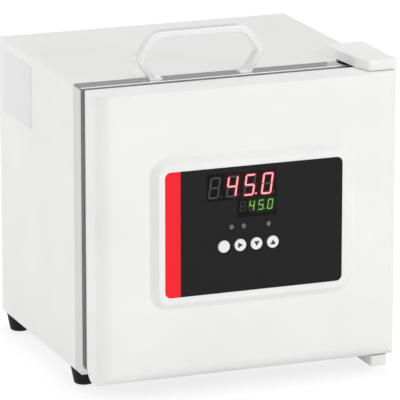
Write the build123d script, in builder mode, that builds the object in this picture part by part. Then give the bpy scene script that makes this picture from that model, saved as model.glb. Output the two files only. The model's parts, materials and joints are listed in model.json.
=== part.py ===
from build123d import *
import math
import os

os.makedirs("parts", exist_ok=True)

# All sizes are millimetres. X runs to the right, Y runs to the back and Z runs up from the bench.

# Cabinet sizes, and the place of its front face
CAB_W = 300.0
CAB_H = 275.0
CAB_D = 235.0
CAB_FRONT = -91.5
FOOT_H = 18.0
SHEET = 1.0
CORNER_R = 2.5
BAND_D = 19.0
HALF_W = CAB_W / 2
CAB_BACK = CAB_FRONT + CAB_D
CAB_LOW = FOOT_H
CAB_TOP = FOOT_H + CAB_H
BAND_BACK = CAB_FRONT + BAND_D
MID_Z = CAB_LOW + CAB_H / 2

# Clearance between curved pieces that are fixed to each other, and in a turning fit
LOOSE = 0.3
RUNNING = 0.05

# Hinge line at the right side of the door
HINGE_X = HALF_W - 16.0
HINGE_Y = CAB_FRONT - 22.0
PIN_R = 3.0
BUSH_R = 5.0
BUSH_FLANGE_R = 6.2
BUSH_FLANGE_T = 1.5
BUSH_DEPTH = 12.0
SEAL_RIGHT = HINGE_X - 0.5

# Door gasket
SEAL_LEFT = -HALF_W + 3.0
SEAL_W = 13.0
SEAL_LOW = CAB_LOW + 4.5
SEAL_TOP = CAB_TOP - 1.5
SEAL_GAP = 0.2

# Heated chamber, as wide as the seal and the frame inside it leave, with walls above and below
SEAL_ROOM = 1.5
FRAME_LIP = 12.0
FRAME_COVER = 5.0
TOP_WALL = 44.5
CHAMBER_W = 2 * (SEAL_RIGHT - SEAL_W - SEAL_ROOM - FRAME_LIP)
CHAMBER_H = CAB_H - 2 * TOP_WALL
CHAMBER_D = 190.0
CHAMBER_R = 12.0
LINER_T = 0.8
CHAMBER_BACK = CAB_FRONT + CHAMBER_D
CHAMBER_LOW = MID_Z - CHAMBER_H / 2
SHELF_HEIGHT = 88.0
SHELF_TOP = CHAMBER_LOW + SHELF_HEIGHT
PROBE_X = CHAMBER_W / 2 - 37
PROBE_Z = CHAMBER_LOW + CHAMBER_H - 33

# Door
DOOR_GAP = 15.0
DOOR_T = 35.0
DOOR_W = CAB_W - 1.3
DOOR_X = -0.95
DOOR_LEFT = DOOR_X - DOOR_W / 2
DOOR_RIGHT = DOOR_X + DOOR_W / 2
DOOR_LOW = CAB_LOW + 0.5
DOOR_TOP = CAB_TOP + 1.0
DOOR_R = 13.0
DOOR_WALL = 3.0
DOOR_BACK = CAB_FRONT - DOOR_GAP
DOOR_FRONT = DOOR_BACK - DOOR_T
DOOR_H = DOOR_TOP - DOOR_LOW
DOOR_MID = (DOOR_TOP + DOOR_LOW) / 2

# Raised pad on the door, and the control panel on it
PAD_W = 205.4
PAD_H = 148.4
PAD_R = 17.5
PAD_RISE = 6.5
PAD_TAPER = 46.0
PAD_FRONT = DOOR_FRONT - PAD_RISE
PAD_MID_Z = MID_Z + 4.5
PANEL_W = PAD_W - 2 * 14.8
PANEL_H = PAD_H - 2 * 14.6
PANEL_R = 5.5
PANEL_T = 0.8
PANEL_SINK = 0.6
PANEL_FACE = PAD_FRONT + PANEL_SINK - PANEL_T
PANEL_MID_Z = PAD_MID_Z + 0.4
PANEL_LEFT = -PANEL_W / 2
PANEL_TOP = PANEL_MID_Z + PANEL_H / 2
PAD_BACK = PAD_FRONT + DOOR_WALL

# Displays, as the edges of the clear L shape: large readout above, small readout below
RED_X = (PANEL_LEFT + 40.4, PANEL_LEFT + 109.9)
RED_Z = (PANEL_TOP - 30.8, PANEL_TOP - 5.2)
GREEN_X = (PANEL_LEFT + 70.5, PANEL_LEFT + 109.9)
GREEN_Z = (PANEL_TOP - 48.8, PANEL_TOP - 30.8)

# Keys and lamps on the panel
KEY_X = tuple(PANEL_LEFT + along for along in (57.4, 73.6, 89.7, 106.0))
KEY_Z = PANEL_TOP - 74.8
KEY_R = 5.75
KEY_PROUD = 1.4
KEY_TRAVEL = 0.8
KEY_FLANGE_R = 7.3
LED_X = tuple(PANEL_LEFT + along for along in (65.1, 77.3, 102.0))
LED_Z = PANEL_TOP - 57.0
LED_R = 2.5

# Circuit board in the door
BOARD_T = 1.6
BOARD_FACE = PAD_BACK + 9.5
BOARD_BACK = BOARD_FACE + BOARD_T


# Carrying handle
HANDLE_X = -28.0
HANDLE_D = 12.0
HANDLE_T = 6.3
HANDLE_H = 44.6
HANDLE_FRONT = CAB_FRONT + 7.0
HANDLE_FOOT_X = 48.4

# Feet
FOOT_TOP_R = 12.75
FOOT_LOW_R = 9.4
FOOT_X = HALF_W - FOOT_TOP_R - 0.25
FOOT_Y = (CAB_FRONT + 32.0, CAB_BACK - 14.0)

# Rear panel
REAR_W = CAB_W - 12.0
REAR_H = CAB_H - 12.0
REAR_FACE = CAB_BACK + SHEET
INLET_X = REAR_W / 2 - 40
INLET_Z = CAB_LOW + 34.0
SWITCH_X = INLET_X - 42
SWITCH_Z = INLET_Z
ROCK_TILT = 8.0

pieces = {}


def front_plane(y):
    """A sketch plane that faces the viewer of the front, with local x as X and local y as Z."""
    return Plane.XZ.offset(-y)


def side_plane(x):
    """A sketch plane that faces right, with local x as Y and local y as Z."""
    return Plane.YZ.offset(x)


def block(x, y, z, mode=Mode.ADD):
    """Add or cut a box between two X values, two Y values and two Z values."""
    with Locations(((x[0] + x[1]) / 2, (y[0] + y[1]) / 2, (z[0] + z[1]) / 2)):
        Box(x[1] - x[0], y[1] - y[0], z[1] - z[0], mode=mode)


def window(x, z, grow, mode=Mode.ADD):
    """Draw a rectangle between X and Z values on a front plane, made larger all round."""
    with Locations(((x[0] + x[1]) / 2, (z[0] + z[1]) / 2)):
        Rectangle(x[1] - x[0] + 2 * grow, z[1] - z[0] + 2 * grow, mode=mode)


def rod(x, z, radius, y_near, y_far, mode=Mode.ADD):
    """Add or cut a round bar along Y between two Y values."""
    with Locations(Location((x, (y_near + y_far) / 2, z), (90, 0, 0))):
        Cylinder(radius, y_far - y_near, mode=mode)


def post(x, y, radius, z_low, z_top, mode=Mode.ADD):
    """Add or cut a round bar along Z between two Z values."""
    with Locations((x, y, (z_low + z_top) / 2)):
        Cylinder(radius, z_top - z_low, mode=mode)


def cabinet_outline(inset):
    """Draw the cabinet's front outline, made smaller all round by the inset."""
    wide = CAB_W - 2 * inset
    with Locations((0, MID_Z)):
        RectangleRounded(wide, CAB_H - 2 * inset, CORNER_R - inset)
    with Locations((0, CAB_LOW + inset + CORNER_R)):
        Rectangle(wide, 2 * CORNER_R)


def keep(name, piece):
    """Label a finished piece and keep it for export."""
    piece.part.label = name
    pieces[name] = piece


# Outer shell, one sheet bent over the sides and the top
FLANGE_W = 28.0
REAR_FLANGE = 12.0
with BuildPart() as outer_shell:
    with BuildSketch(front_plane(CAB_BACK)):
        cabinet_outline(0)
    extrude(amount=CAB_BACK - BAND_BACK)
    with BuildSketch(front_plane(CAB_BACK - SHEET)):
        cabinet_outline(SHEET)
    extrude(amount=CAB_D, mode=Mode.SUBTRACT)
    inner = HALF_W - REAR_FLANGE
    block((-inner, inner), (CAB_BACK - 3, CAB_BACK + 1), (CAB_LOW - 1, CAB_TOP - REAR_FLANGE), Mode.SUBTRACT)
    slot = HALF_W - FLANGE_W
    block((-slot, slot), (BAND_BACK - 1, CAB_BACK + 1), (CAB_LOW - 1, CAB_LOW + SHEET + 1), Mode.SUBTRACT)
    for x in (-FOOT_X, FOOT_X):
        for y in FOOT_Y:
            post(x, y, 2.3, CAB_LOW - 1, CAB_LOW + 2, Mode.SUBTRACT)
    for x in (-REAR_W / 2 + 6, REAR_W / 2 - 6):
        for z in (CAB_LOW + 20, CAB_TOP - 12):
            rod(x, z, 1.9, CAB_BACK - 3, CAB_BACK + 1, Mode.SUBTRACT)
keep("outer_shell", outer_shell)

# Base pan on the shell's lower flanges
PAN_LOW = CAB_LOW + SHEET
with BuildPart() as base_pan:
    half = HALF_W - SHEET
    block((-half, half), (BAND_BACK, CAB_BACK - SHEET), (PAN_LOW, PAN_LOW + SHEET))
    block((-slot, slot), (CAB_BACK - 2 * SHEET, CAB_BACK - SHEET), (PAN_LOW, PAN_LOW + 14))
    for x in (-FOOT_X, FOOT_X):
        for y in FOOT_Y:
            post(x, y, 2.3, PAN_LOW - 1, PAN_LOW + 2, Mode.SUBTRACT)
    with BuildSketch(Plane.XY.offset(PAN_LOW)):
        with Locations((HINGE_X - 6, BAND_BACK + 14)):
            Circle(1.8)
    extrude(amount=SHEET, mode=Mode.SUBTRACT)
keep("base_pan", base_pan)

# Polished front band, a hoop with a front face and four tabs that slip inside the shell
BAND_OPEN_W = CHAMBER_W + 2 * (FRAME_LIP - FRAME_COVER)
BAND_OPEN_H = CHAMBER_H + 2 * (FRAME_LIP - FRAME_COVER)
TAB_BACK = BAND_BACK + 10
with BuildPart() as front_band:
    with BuildSketch(front_plane(BAND_BACK)):
        cabinet_outline(0)
    extrude(amount=BAND_D)
    fillet(front_band.faces().sort_by(Axis.Y)[0].outer_wire().edges(), 0.8)
    with BuildSketch(front_plane(BAND_BACK)):
        cabinet_outline(SHEET)
    extrude(amount=BAND_D - SHEET, mode=Mode.SUBTRACT)
    with BuildSketch(front_plane(BAND_BACK)):
        with Locations((0, MID_Z)):
            RectangleRounded(BAND_OPEN_W, BAND_OPEN_H, CHAMBER_R + 6)
    extrude(amount=BAND_D + 1, mode=Mode.SUBTRACT)
    half = HALF_W - SHEET
    for side in (-1, 1):
        near = side * half
        far = side * (half - SHEET)
        span = (min(near, far), max(near, far))
        block(span, (BAND_BACK - 8, TAB_BACK), (CAB_LOW + 20, CAB_TOP - 20))
    block((-half + 20, half - 20), (BAND_BACK - 2, TAB_BACK), (CAB_TOP - 2 * SHEET, CAB_TOP - SHEET))
    for side in (-1, 1):
        post(HANDLE_X + side * HANDLE_FOOT_X, HANDLE_FRONT + HANDLE_D / 2, 1.9, CAB_TOP - 3, CAB_TOP + 1, Mode.SUBTRACT)
keep("front_band", front_band)

# Plastic frame between the cold band and the warm liner
FRAME_PROUD = 2.0
COLLAR_BACK = CAB_FRONT + 11
with BuildPart() as breaker_frame:
    with BuildSketch(front_plane(CAB_FRONT)):
        with Locations((0, MID_Z)):
            RectangleRounded(BAND_OPEN_W + 2 * FRAME_COVER, BAND_OPEN_H + 2 * FRAME_COVER, CHAMBER_R + 9)
    extrude(amount=FRAME_PROUD)
    fillet(breaker_frame.faces().sort_by(Axis.Y)[0].outer_wire().edges(), 1.2)
    with BuildSketch(front_plane(COLLAR_BACK)):
        with Locations((0, MID_Z)):
            RectangleRounded(BAND_OPEN_W - 2 * LOOSE, BAND_OPEN_H - 2 * LOOSE, CHAMBER_R + 6 - LOOSE)
    extrude(amount=COLLAR_BACK - CAB_FRONT)
    with BuildSketch(front_plane(COLLAR_BACK)):
        with Locations((0, MID_Z)):
            grow = 2 * (LINER_T + LOOSE)
            RectangleRounded(CHAMBER_W + grow, CHAMBER_H + grow, CHAMBER_R + LINER_T + LOOSE)
    extrude(amount=COLLAR_BACK - CAB_FRONT, mode=Mode.SUBTRACT)
    with BuildSketch(front_plane(COLLAR_BACK)):
        with Locations((0, MID_Z)):
            RectangleRounded(CHAMBER_W, CHAMBER_H, CHAMBER_R)
    extrude(amount=COLLAR_BACK - CAB_FRONT + FRAME_PROUD + 1, mode=Mode.SUBTRACT)
keep("breaker_frame", breaker_frame)

# Chamber liner, a deep drawn box that is open at the front
LINER_BACK_R = 6.0
with BuildPart() as chamber_liner:
    with BuildSketch(front_plane(CHAMBER_BACK + LINER_T)):
        with Locations((0, MID_Z)):
            RectangleRounded(CHAMBER_W + 2 * LINER_T, CHAMBER_H + 2 * LINER_T, CHAMBER_R + LINER_T)
    extrude(amount=CHAMBER_D + LINER_T)
    fillet(chamber_liner.faces().sort_by(Axis.Y)[-1].outer_wire().edges(), LINER_BACK_R + LINER_T)
    offset(amount=-LINER_T, openings=chamber_liner.faces().sort_by(Axis.Y)[0])
keep("chamber_liner", chamber_liner)

# Silicone heater mat under the liner
HEATER_TOP = CHAMBER_LOW - LINER_T
HEATER_T = 1.6
HEATER_W = CHAMBER_W - 54
HEATER_D = CHAMBER_D - 50
HEATER_Y = CHAMBER_BACK - 22 - HEATER_D / 2
TERMINAL_X = HEATER_W / 2 - 20
with BuildPart() as heater_mat:
    with BuildSketch(Plane.XY.offset(HEATER_TOP - HEATER_T)):
        with Locations((0, HEATER_Y)):
            RectangleRounded(HEATER_W, HEATER_D, 8)
    extrude(amount=HEATER_T)
    with BuildSketch(Plane.XY.offset(HEATER_TOP - HEATER_T - 2)):
        with Locations((TERMINAL_X, CHAMBER_BACK - 30)):
            RectangleRounded(22, 12, 3)
    extrude(amount=2)
keep("heater_mat", heater_mat)

# Foam between liner and shell, with pockets for the liner, the mat and the frame
FOAM_BACK = CHAMBER_BACK + 20
FOAM_LOW = PAN_LOW + SHEET
with BuildPart() as insulation:
    half = HALF_W - SHEET
    foam_z = (FOAM_LOW, CAB_TOP - SHEET)
    block((-half, half), (TAB_BACK + 1, FOAM_BACK), foam_z)
    chamfer(insulation.edges().filter_by(Axis.Y).group_by(Axis.Z)[-1], 3)
    block((-half + 3, half - 3), (BAND_BACK + 1, TAB_BACK + 1), (FOAM_LOW, CAB_TOP - 4))
    block((-half + 3, half - 3), (COLLAR_BACK + 1, BAND_BACK + 1), (FOAM_LOW + 3, CAB_TOP - 4))
    with BuildSketch(front_plane(CHAMBER_BACK + LINER_T)):
        with Locations((0, MID_Z)):
            grow = 2 * (LINER_T + LOOSE)
            RectangleRounded(CHAMBER_W + grow, CHAMBER_H + grow, CHAMBER_R + LINER_T + LOOSE)
    extrude(amount=CHAMBER_D + 2, mode=Mode.SUBTRACT)
    mat_x = (-HEATER_W / 2 - 1, HEATER_W / 2 + 1)
    mat_y = (HEATER_Y - HEATER_D / 2 - 1, HEATER_Y + HEATER_D / 2 + 1)
    block(mat_x, mat_y, (HEATER_TOP - HEATER_T, HEATER_TOP + 1), Mode.SUBTRACT)
    terminal_x = (TERMINAL_X - 12, TERMINAL_X + 12)
    terminal_y = (CHAMBER_BACK - 37, CHAMBER_BACK - 23)
    block(terminal_x, terminal_y, (HEATER_TOP - HEATER_T - 2, HEATER_TOP), Mode.SUBTRACT)
    rod(PROBE_X, PROBE_Z, 2.6, CHAMBER_BACK - 1, FOAM_BACK + 1, Mode.SUBTRACT)
    for x in (-FOOT_X, FOOT_X):
        post(x, FOOT_Y[0], 4.0, FOAM_LOW - 1, FOAM_LOW + 7, Mode.SUBTRACT)
keep("insulation", insulation)

# Shelf rails, one angle on each side wall of the chamber
RAIL_T = 1.0
RAIL_LEDGE = 9.0
RAIL_Y = (CAB_FRONT + 14, CHAMBER_BACK - 14)
SHELF_T = 1.2
for side, name in ((-1, "shelf_rail_left"), (1, "shelf_rail_right")):
    with BuildPart() as rail:
        wall = side * CHAMBER_W / 2
        ledge_top = SHELF_TOP - SHELF_T
        inner = wall - side * RAIL_T
        tip = wall - side * RAIL_LEDGE
        block((min(wall, inner), max(wall, inner)), RAIL_Y, (ledge_top - RAIL_T, ledge_top + 9))
        block((min(wall, tip), max(wall, tip)), RAIL_Y, (ledge_top - RAIL_T, ledge_top))
        corner = rail.edges().filter_by(Axis.Z).sort_by(lambda e: abs(e.center().X))[:2]
        fillet(corner, 3)
    keep(name, rail)

# Perforated shelf with lips turned up at the front and down at the back
SHELF_HALF = CHAMBER_W / 2 - RAIL_T - 0.8
SHELF_Y = (CAB_FRONT + 12, CHAMBER_BACK - 8)
with BuildPart() as shelf:
    block((-SHELF_HALF, SHELF_HALF), SHELF_Y, (SHELF_TOP - SHELF_T, SHELF_TOP))
    lip = SHELF_HALF - RAIL_LEDGE - 1
    block((-lip, lip), (SHELF_Y[0], SHELF_Y[0] + SHELF_T), (SHELF_TOP - 9, SHELF_TOP))
    block((-lip, lip), (SHELF_Y[1] - SHELF_T, SHELF_Y[1]), (SHELF_TOP - SHELF_T, SHELF_TOP + 8))
    with BuildSketch(Plane.XY.offset(SHELF_TOP)):
        with Locations((0, (SHELF_Y[0] + SHELF_Y[1]) / 2)):
            with GridLocations(23, 22, 8, 7):
                SlotOverall(15, 6)
    extrude(amount=-SHELF_T, mode=Mode.SUBTRACT)
keep("shelf", shelf)

# Temperature probe on the back wall of the chamber
with BuildPart() as temperature_probe:
    rod(PROBE_X, PROBE_Z, 2.2, CHAMBER_BACK - 38, CHAMBER_BACK)
    fillet(temperature_probe.edges().sort_by(Axis.Y)[0], 1.8)
    rod(PROBE_X, PROBE_Z, 6.5, CHAMBER_BACK - 3, CHAMBER_BACK)
keep("temperature_probe", temperature_probe)

# Rear cover with two fields of vent slots and cut-outs for the mains parts
VENT_X = (8 - REAR_W / 4, REAR_W / 4 - 8)
VENT_Z = CAB_TOP - 52
with BuildPart() as rear_cover:
    with BuildSketch(front_plane(REAR_FACE)):
        with Locations((0, MID_Z)):
            RectangleRounded(REAR_W, REAR_H, 3)
        with Locations(*((x, VENT_Z) for x in VENT_X)):
            with GridLocations(1, 9, 1, 6):
                SlotOverall(70, 3.6, mode=Mode.SUBTRACT)
        with Locations((INLET_X, INLET_Z)):
            Rectangle(29, 21, mode=Mode.SUBTRACT)
        with Locations((SWITCH_X, SWITCH_Z)):
            Rectangle(14, 22, mode=Mode.SUBTRACT)
        for x in (-REAR_W / 2 + 6, REAR_W / 2 - 6):
            with Locations((x, CAB_LOW + 20), (x, CAB_TOP - 12)):
                Circle(1.9, mode=Mode.SUBTRACT)
    extrude(amount=SHEET)
keep("rear_cover", rear_cover)

# Four screws that hold the rear cover
rear_spots = [(x, z) for z in (CAB_LOW + 20, CAB_TOP - 12) for x in (-REAR_W / 2 + 6, REAR_W / 2 - 6)]
for number, (x, z) in enumerate(rear_spots, 1):
    with BuildPart() as rear_screw:
        rod(x, z, 3.4, REAR_FACE, REAR_FACE + 2)
        fillet(rear_screw.edges().sort_by(Axis.Y)[-1], 1.2)
        rod(x, z, 1.6, REAR_FACE - 6, REAR_FACE + 0.5)
        with BuildSketch(front_plane(REAR_FACE + 2)):
            with Locations((x, z)):
                Rectangle(3.8, 0.9)
                Rectangle(0.9, 3.8)
        extrude(amount=1.1, mode=Mode.SUBTRACT)
    keep(f"rear_screw_{number}", rear_screw)

# Mains power inlet with three pins in a recess
INLET_FACE = REAR_FACE + 2.2
with BuildPart() as power_inlet:
    with BuildSketch(front_plane(INLET_FACE)):
        with Locations((INLET_X, INLET_Z)):
            RectangleRounded(33, 25, 3)
    extrude(amount=INLET_FACE - REAR_FACE)
    with BuildSketch(front_plane(REAR_FACE)):
        with Locations((INLET_X, INLET_Z)):
            Rectangle(28, 20)
    extrude(amount=18)
    with BuildSketch(front_plane(INLET_FACE)) as socket:
        with Locations((INLET_X, INLET_Z)):
            Rectangle(24.4, 16.4)
        chamfer(socket.vertices().sort_by(Axis.Y)[-2:], 4)
    extrude(amount=16, mode=Mode.SUBTRACT)
    for dx, dz in ((-7, -2), (7, -2), (0, 2)):
        spot = (INLET_X + dx, INLET_Z + dz)
        block((spot[0] - 1, spot[0] + 1), (INLET_FACE - 17, INLET_FACE - 6.5), (spot[1] - 2, spot[1] + 2))
keep("power_inlet", power_inlet)

# Body of the mains switch, with a well for the rocker
SWITCH_FACE = REAR_FACE + 1.8
ROCK_WELL = 8.0
ROCK_Y = SWITCH_FACE - 1.5
ROCK_PIN_R = 1.0
with BuildPart() as switch_body:
    with BuildSketch(front_plane(SWITCH_FACE)):
        with Locations((SWITCH_X, SWITCH_Z)):
            RectangleRounded(17.5, 25.5, 1.5)
    extrude(amount=SWITCH_FACE - REAR_FACE)
    with BuildSketch(front_plane(REAR_FACE)):
        with Locations((SWITCH_X, SWITCH_Z)):
            Rectangle(13, 21)
    extrude(amount=15)
    with BuildSketch(front_plane(SWITCH_FACE)):
        with Locations((SWITCH_X, SWITCH_Z)):
            Rectangle(11, 19.6)
    extrude(amount=ROCK_WELL, mode=Mode.SUBTRACT)
    for dx in (-4.3, 4.3):
        block((SWITCH_X + dx - 1.2, SWITCH_X + dx + 1.2), (SWITCH_FACE - 9, SWITCH_FACE - 5.5),
              (SWITCH_Z - 2, SWITCH_Z + 2))
    with Locations(Location((SWITCH_X, ROCK_Y, SWITCH_Z), (0, 90, 0))):
        Cylinder(ROCK_PIN_R + RUNNING, 12.4, mode=Mode.SUBTRACT)
keep("switch_body", switch_body)

# Rocker of the mains switch on two small pins, drawn pressed at its lower end
tilt = math.radians(ROCK_TILT)
ROCK_PLANE = Plane(
    origin=(SWITCH_X - 5.1, ROCK_Y, SWITCH_Z),
    x_dir=(0, math.sin(tilt), math.cos(tilt)),
    z_dir=(1, 0, 0),
)
with BuildPart() as switch_rocker:
    with BuildSketch(ROCK_PLANE):
        with BuildLine():
            Polyline((-9, 2.4), (-9, -1.5), (-4, -3.2), (4, -3.2), (9, -1.5), (9, 2.4))
            ThreePointArc((9, 2.4), (0, 1.0), (-9, 2.4))
        make_face()
    extrude(amount=10.2)
    with Locations(Location((SWITCH_X, ROCK_Y, SWITCH_Z), (0, 90, 0))):
        Cylinder(ROCK_PIN_R, 12.2)
keep("switch_rocker", switch_rocker)

# Power board in the bay behind the foam, on four posts from the rear cover
with BuildPart() as power_board:
    board_y = (CAB_BACK - 13.6, CAB_BACK - 12)
    edge = SWITCH_X - 22
    low = SWITCH_Z + 6
    block((edge - 100, edge), board_y, (low, low + 80))
    for x in (edge - 94, edge - 6):
        for z in (low + 6, low + 74):
            rod(x, z, 2.5, CAB_BACK - 12, CAB_BACK)
    block((edge - 90, edge - 52), (CAB_BACK - 12, CAB_BACK - 1.5), (low + 20, low + 60))
    block((edge - 42, edge - 24), (CAB_BACK - 12, CAB_BACK - 2.5), (low + 44, low + 66))
    block((edge - 42, edge - 24), (CAB_BACK - 12, CAB_BACK - 4), (low + 14, low + 32))
    rod(edge - 13, low + 38, 5, CAB_BACK - 12, CAB_BACK - 2)
keep("power_board", power_board)

# Thin plate on the left side of the cabinet
with BuildPart() as side_plate:
    with BuildSketch(side_plane(-HALF_W)):
        with Locations((CAB_BACK - 54, CAB_TOP - 40.5)):
            RectangleRounded(82, 61, 3)
    extrude(amount=-0.4)
keep("side_plate", side_plate)

# Feet, tapered rubber with a recess for the screw head
HEAD_R = 3.8
RECESS_R = 5.0
RECESS_H = 7.0
foot_spots = [(x, y) for y in FOOT_Y for x in (-FOOT_X, FOOT_X)]
for number, (x, y) in enumerate(foot_spots, 1):
    with BuildPart() as foot:
        with BuildSketch(Plane((x, y, 0), x_dir=(1, 0, 0), z_dir=(0, -1, 0))):
            with BuildLine():
                Line((RECESS_R, 0), (FOOT_LOW_R - 2.2, 0))
                TangentArc((FOOT_LOW_R - 2.2, 0), (FOOT_LOW_R + 0.2, 2.0), tangent=(1, 0))
                Polyline(
                    (FOOT_LOW_R + 0.2, 2.0), (FOOT_TOP_R, FOOT_H), (2.3, FOOT_H),
                    (2.3, RECESS_H), (RECESS_R, RECESS_H), (RECESS_R, 0),
                )
            make_face()
        revolve(axis=Axis((x, y, 0), (0, 0, 1)))
    keep(f"foot_{number}", foot)
    with BuildPart() as foot_screw:
        post(x, y, HEAD_R, RECESS_H - 2.6, RECESS_H)
        fillet(foot_screw.edges().sort_by(Axis.Z)[0], 1.4)
        post(x, y, 2.0, RECESS_H - 1, PAN_LOW + SHEET + 5)
        with BuildSketch(Plane.XY.offset(RECESS_H - 2.6)):
            with Locations((x, y)):
                Rectangle(4.2, 1.0)
                Rectangle(1.0, 4.2)
        extrude(amount=1.2, mode=Mode.SUBTRACT)
    keep(f"foot_screw_{number}", foot_screw)

# Carrying handle, one moulded strap that stands on the band with its feet turned inwards
LEG_X = 51.0
ELBOW_X = 64.2
ELBOW_Z = 19.0
CROWN_X = 47.1
FOOT_TIP = 38.5
PAD_T = 2.8
TOE_T = 1.0
run = math.hypot(CROWN_X - ELBOW_X, HANDLE_H - ELBOW_Z)
side_step = HANDLE_T * run / (HANDLE_H - ELBOW_Z)
inner_elbow = ELBOW_X - side_step
slope = (ELBOW_X - CROWN_X) / (HANDLE_H - ELBOW_Z)
inner_crown = inner_elbow - (HANDLE_H - HANDLE_T - ELBOW_Z) * slope
leg_slope = (ELBOW_X - LEG_X) / ELBOW_Z
inner_leg = inner_elbow - (ELBOW_Z - PAD_T) * leg_slope
with BuildPart() as handle:
    with BuildSketch(front_plane(HANDLE_FRONT + HANDLE_D)) as strap:
        with BuildLine() as outline:
            right = [
                (LEG_X, 0), (ELBOW_X, ELBOW_Z), (CROWN_X, HANDLE_H),
            ]
            inside = [
                (inner_crown, HANDLE_H - HANDLE_T), (inner_elbow, ELBOW_Z), (inner_leg, PAD_T),
                (FOOT_TIP, TOE_T), (FOOT_TIP, 0),
            ]
            outer = right + [(-x, z) for x, z in reversed(right)]
            hole = [(-x, z) for x, z in reversed(inside)]
            points = outer + hole + inside
            Polyline(*[(HANDLE_X + x, CAB_TOP + z) for x, z in points], close=True)
        make_face()
        def bend(x, z, radius):
            """Round the two mirrored corners at this place of the strap."""
            spots = [Vector(HANDLE_X + side * x, 0, CAB_TOP + z) for side in (-1, 1)]
            for spot in spots:
                corner = strap.vertices().sort_by(lambda v: (v.center() - Vector(spot.X, v.Y, spot.Z)).length)[0]
                fillet(corner, radius)
        bend(ELBOW_X, ELBOW_Z, 7)
        bend(CROWN_X, HANDLE_H, 21)
        bend(inner_crown, HANDLE_H - HANDLE_T, 15)
        bend(inner_elbow, ELBOW_Z, 2)
        bend(inner_leg, PAD_T, 2)
    extrude(amount=HANDLE_D)
    ends = handle.faces().filter_by(Axis.Y)
    fillet(ends.edges().filter_by(lambda e: e.center().Z > CAB_TOP + PAD_T + 0.2), 0.9)
    for side in (-1, 1):
        post(HANDLE_X + side * HANDLE_FOOT_X, HANDLE_FRONT + HANDLE_D / 2, 1.6, CAB_TOP - 1, CAB_TOP + 4, Mode.SUBTRACT)
keep("handle", handle)

# Screws that hold the handle from inside the band
for number, side in ((1, -1), (2, 1)):
    with BuildPart() as handle_screw:
        x = HANDLE_X + side * HANDLE_FOOT_X
        y = HANDLE_FRONT + HANDLE_D / 2
        post(x, y, 1.3, CAB_TOP - SHEET - 1, CAB_TOP + 3.5)
        post(x, y, 3.2, CAB_TOP - SHEET - 2.2, CAB_TOP - SHEET)
    keep(f"handle_screw_{number}", handle_screw)

# Upper hinge plate on the cabinet's top, reaching over the door
PLATE_T = 3.2
PLATE_LOW = DOOR_TOP + 0.3
PLATE_BACK = CAB_FRONT + 38
NOSE_R = 4.6
with BuildPart() as upper_hinge_bracket:
    with BuildSketch(Plane.XY.offset(CAB_TOP)):
        with BuildLine():
            Polyline(
                (HINGE_X - NOSE_R, HINGE_Y), (HINGE_X - 8, CAB_FRONT + 6), (HINGE_X - 8, PLATE_BACK),
                (HINGE_X + 13, PLATE_BACK), (HINGE_X + 13, CAB_FRONT + 6), (HINGE_X + NOSE_R, HINGE_Y),
            )
            RadiusArc((HINGE_X + NOSE_R, HINGE_Y), (HINGE_X - NOSE_R, HINGE_Y), NOSE_R)
        make_face()
        with Locations((HINGE_X, HINGE_Y)):
            Circle(PIN_R - 0.5 + LOOSE, mode=Mode.SUBTRACT)
    extrude(amount=PLATE_T)
    block((HINGE_X - 20, HINGE_X + 20), (HINGE_Y - 10, CAB_FRONT + 2), (CAB_TOP - 1, PLATE_LOW), Mode.SUBTRACT)
    for y in (CAB_FRONT + 14, CAB_FRONT + 30):
        post(HINGE_X, y, 4.0, CAB_TOP + PLATE_T - 0.5, CAB_TOP + PLATE_T + 2)
keep("upper_hinge_bracket", upper_hinge_bracket)

# Upper hinge pin, riveted in the plate
with BuildPart() as upper_hinge_pin:
    post(HINGE_X, HINGE_Y, PIN_R - 0.5, PLATE_LOW - 1, CAB_TOP + PLATE_T + 0.5)
    post(HINGE_X, HINGE_Y, PIN_R, DOOR_TOP - BUSH_DEPTH + 1, PLATE_LOW)
    chamfer(upper_hinge_pin.edges().sort_by(Axis.Z)[0], 0.8)
    post(HINGE_X, HINGE_Y, PIN_R + 1, CAB_TOP + PLATE_T, CAB_TOP + PLATE_T + 1.2)
keep("upper_hinge_pin", upper_hinge_pin)

# Upper hinge cover, a hollow plastic cap
CAP_H = 11.3
CAP_WALL = 2.0
CAP_FRONT = CAB_FRONT - 38
CAP_BACK = CAB_FRONT + 43
CAP_RIGHT = HALF_W + 0.7
CAP_DIP = CAP_RIGHT - 1.7
CAP_UNDER = DOOR_TOP + 0.6


def cap_outline(inset):
    """Draw the cap's outline seen from above, made smaller by the inset."""
    Polygon(
        (HALF_W - 28 + inset, CAP_FRONT + inset), (CAP_RIGHT - inset, CAP_FRONT + inset),
        (CAP_RIGHT - inset, CAB_FRONT - 24), (CAP_DIP - inset, CAB_FRONT - 13),
        (CAP_DIP - inset, CAB_FRONT - 4), (CAP_RIGHT - inset, CAB_FRONT + 2),
        (CAP_RIGHT - inset, CAP_BACK - inset), (HALF_W - 37 + inset, CAP_BACK - inset),
        (HALF_W - 36.5 + inset, CAB_FRONT + 20), (HALF_W - 33.3 + inset, CAB_FRONT - 19),
        align=None,
    )


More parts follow.
